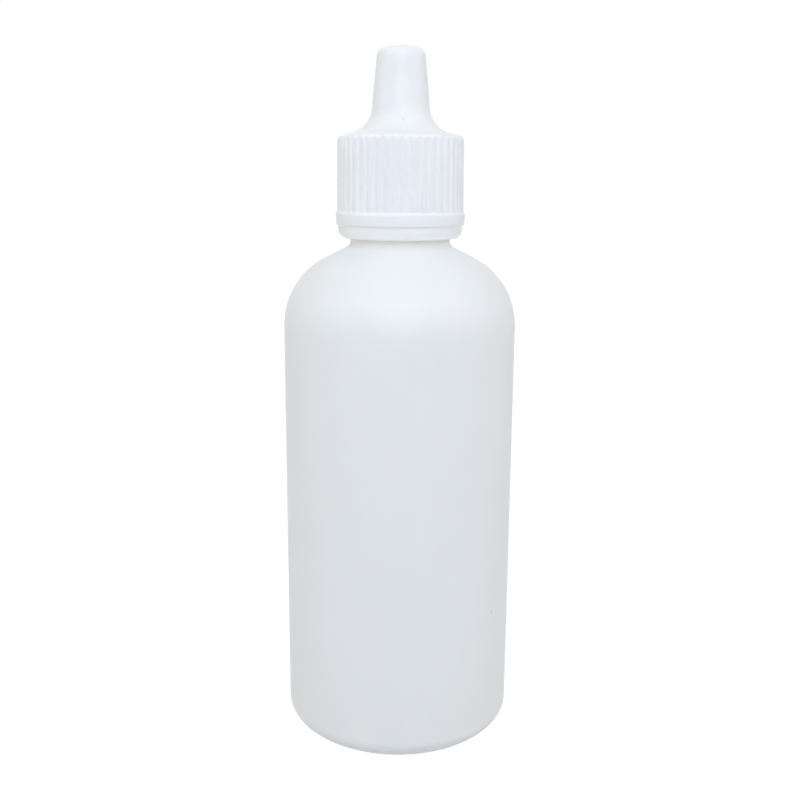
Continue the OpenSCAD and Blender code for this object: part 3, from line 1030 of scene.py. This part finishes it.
ring = {
    "wall": 1.25,
    "lipRadius": 9.3,
    "lipHeight": 0.55,
    "flat": 0.65,
    "curve": 1.7,
    "edge": 0.02,
    "turnPoints": 192,
}
bridge = {"count": 12, "depth": 0.5, "width": 0.6, "waist": 0.18}


def buildRing(mesh):
    flat = ring["lipRadius"] + ring["flat"]
    inner = ringRadius - ring["wall"]
    curve = ovalLine((flat, ringFoot + ring["curve"]), ringRadius - flat, ring["curve"], 14)
    line = sectionLine([
        (ring["lipRadius"], ringFoot, 0.12, 4),
        *plainCorners(curve),
        (ringRadius, ringTop, ring["edge"], 3),
        (inner, ringTop, 0.12, 4),
        (inner, ringFoot + ring["lipHeight"], 0.1, 3),
        (ring["lipRadius"], ringFoot + ring["lipHeight"], 0.12, 4),
    ])
    skinRings(mesh, latheRings(mesh, line, evenTurn(ring["turnPoints"])), closed=True)


def bridgeTree():
    # a waisted nub, set round a circle
    inputs = ("Count", "Radius", "Depth", "Width", "Height", "Level", "Waist")
    tree, sheet, given = startTree("tearBridges", inputs)
    size = sheet.vector(X=given("Depth"), Y=given("Width"), Z=given("Height"))
    points = {"Vertices X": 5, "Vertices Y": 5, "Vertices Z": 7}
    block = sheet.add("GeometryNodeMeshCube", values={"Size": size, **points}, output="Mesh")
    part = sheet.parts(sheet.add("GeometryNodeInputPosition"))
    level = part("Z") / given("Height") * 2
    pinch = (level * level - 1) * given("Waist")
    offset = sheet.vector(X=part("X") * pinch, Y=part("Y") * pinch)
    nub = sheet.add("GeometryNodeSetPosition", values={"Geometry": block, "Offset": offset})
    aroundAxis = {"Vertices": given("Count"), "Radius": given("Radius")}
    circle = sheet.add("GeometryNodeMeshCircle", values=aroundAxis)
    spot = sheet.parts(sheet.add("GeometryNodeInputPosition"))
    turn = sheet.vector(Z=spot("Y").sum("ARCTAN2", spot("X")))
    facing = sheet.add("FunctionNodeEulerToRotation", values={0: turn})
    spread = {"Points": circle, "Instance": nub, "Rotation": facing}
    nubs = sheet.add("GeometryNodeInstanceOnPoints", values=spread)
    lift = {"Instances": nubs, "Translation": sheet.vector(Z=given("Level")), "Local Space": False}
    raised = sheet.add("GeometryNodeTranslateInstances", values=lift)
    endTree(sheet, raised, given("Material"))
    return tree


ringWhite = ringFinish(ringLook)
tamperRing = makePiece("tamperRing", buildRing)
tamperRing.data.materials.append(ringWhite)
tearBridges = makePiece("tearBridges", lambda mesh: None)
bridgeValues = {
    "Count": float(bridge["count"]),
    "Radius": (bridgeHigh.x - bridge["depth"] / 2) * mm,
    "Depth": bridge["depth"] * mm,
    "Width": bridge["width"] * mm,
    "Height": (bridgeHigh.z - bridgeLow.z) * mm,
    "Level": (bridgeHigh.z + bridgeLow.z) / 2 * mm,
    "Waist": bridge["waist"],
    "Material": ringWhite,
}
growTree(tearBridges, bridgeTree(), bridgeValues)
print("ring", len(tamperRing.data.polygons), "faces, bridges", len(tearBridges.data.polygons))

# Every piece rides on its body and stands for its solid

for piece, body, node, slot in (
    (bottleShell, "bottle", "bottle", "bottle_ldpe"),
    (dropperInsert, "bottle", "dropper_insert", "insert_ldpe"),
    (capShell, "cap", "cap", "cap_pp"),
    (tamperRing, "tamper_ring", "tamper_ring", "cap_pp"),
    (tearBridges, "tamper_ring", "tear_bridges", "cap_pp"),
):
    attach(piece, body)
    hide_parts(node)
print("pieces placed")

# Floor, light and camera


def seenShare(sheet):
    # 1 for what the camera sees, in a reflection or through glass too
    path = sheet.add("ShaderNodeLightPath", output="Is Camera Ray")
    mirrored = path.sum("MAXIMUM", path.other("Is Glossy Ray"))
    return mirrored.sum("MAXIMUM", path.other("Is Transmission Ray"))


floor = {"half": 3.0, "tone": (0.66, 0.66, 0.66), "seenWhite": 1.13, "whiteShare": 0.87}


def makeFloor(f):
    mesh = bpy.data.meshes.new("floor")
    h = f["half"]
    mesh.from_pydata([(-h, -h, 0), (h, -h, 0), (h, h, 0), (-h, h, 0)], [], [(0, 1, 2, 3)])
    plane = bpy.data.objects.new("floor", mesh)
    bpy.context.scene.collection.objects.link(plane)
    material = bpy.data.materials.new("paleFloor")
    material.use_nodes = True
    material.node_tree.nodes.clear()
    sheet = Sheet(material.node_tree)
    matte = sheet.add("ShaderNodeBsdfDiffuse", values={"Color": (*f["tone"], 1)})
    white = sheet.add("ShaderNodeEmission", values={"Color": (1, 1, 1, 1), "Strength": f["seenWhite"]})
    share = seenShare(sheet) * f["whiteShare"]
    mixed = sheet.add("ShaderNodeMixShader", values={0: share, 1: matte, 2: white})
    sheet.add("ShaderNodeOutputMaterial", values={"Surface": mixed})
    mesh.materials.append(material)


room = {"light": (0.985, 1.0, 0.965), "strength": 0.425}


def makeRoom(r):
    world = bpy.data.worlds.new("room")
    world.use_nodes = True
    world.node_tree.nodes.clear()
    sheet = Sheet(world.node_tree)
    soft = sheet.add("ShaderNodeBackground", values={"Color": (*r["light"], 1), "Strength": r["strength"]})
    white = sheet.add("ShaderNodeBackground", values={"Color": (1, 1, 1, 1), "Strength": 1.0})
    mixed = sheet.add("ShaderNodeMixShader", values={0: seenShare(sheet), 1: soft, 2: white})
    sheet.add("ShaderNodeOutputWorld", values={"Surface": mixed})
    bpy.context.scene.world = world


# places in millimetres, size is the side of a square panel that looks at aimHeight on the axis;
# gloss shows only the lamps that are mirrored
lamps = {
    "frontPanel": {
        "place": (0, -520, 420), "aimHeight": 70, "size": 420,
        "watts": 1.9, "tint": (0.86, 0.88, 1.0), "mirrored": True,
    },
    "upperPanel": {
        "place": (0, -310, 640), "aimHeight": 90, "size": 360,
        "watts": 0.22, "tint": (0.85, 0.9, 1.0), "mirrored": True,
    },
    "leftHighPanel": {
        "place": (-480, -160, 420), "aimHeight": 80, "size": 340,
        "watts": 0.7, "tint": (1.0, 0.95, 0.81), "mirrored": True,
    },
    "rightHighPanel": {
        "place": (480, -160, 420), "aimHeight": 80, "size": 340,
        "watts": 0.7, "tint": (1.0, 0.95, 0.81), "mirrored": True,
    },
    "leftPanel": {
        "place": (-620, 0, 150), "aimHeight": 70, "size": 360,
        "watts": 0.1, "tint": (1.0, 0.94, 0.86), "mirrored": True,
    },
    "rightPanel": {
        "place": (620, 0, 150), "aimHeight": 70, "size": 360,
        "watts": 0.17, "tint": (0.95, 0.95, 0.92), "mirrored": True,
    },
    "backPanel": {
        "place": (0, 640, 95), "aimHeight": 65, "size": 300,
        "watts": 1.35, "tint": (0.98, 0.98, 0.98), "mirrored": False,
    },
}


def makeLamps():
    for name, panel in lamps.items():
        lamp = bpy.data.lights.new(name, "AREA")
        lamp.size = panel["size"] * mm
        lamp.energy = panel["watts"]
        lamp.color = panel["tint"]
        holder = bpy.data.objects.new(name, lamp)
        place = Vector(panel["place"]) * mm
        aim = Vector((0, 0, panel["aimHeight"])) * mm
        holder.location = place
        holder.rotation_euler = (aim - place).to_track_quat("-Z", "Y").to_euler()
        holder.visible_camera = False
        holder.visible_glossy = panel["mirrored"]
        bpy.context.scene.collection.objects.link(holder)


view = {
    "lens": 46.64,
    "place": (0.16, -190.61, 104.85),
    "pitch": 12.27,
    "roll": 0.369,
    "near": 10,
    "far": 20000,
}


def makeCamera(v):
    camera = bpy.data.objects.new("viewCamera", bpy.data.cameras.new("viewCamera"))
    camera.data.lens = v["lens"]
    camera.data.clip_start = v["near"] * mm
    camera.data.clip_end = v["far"] * mm
    turned = Matrix.Rotation(radians(90 - v["pitch"]), 4, "X") @ Matrix.Rotation(radians(v["roll"]), 4, "Z")
    camera.matrix_world = Matrix.Translation(Vector(v["place"]) * mm) @ turned
    bpy.context.scene.collection.objects.link(camera)
    bpy.context.scene.camera = camera


makeFloor(floor)
makeRoom(room)
makeLamps()
makeCamera(view)
bpy.context.scene.view_settings.view_transform = "Standard"
print("floor, light and camera ready")
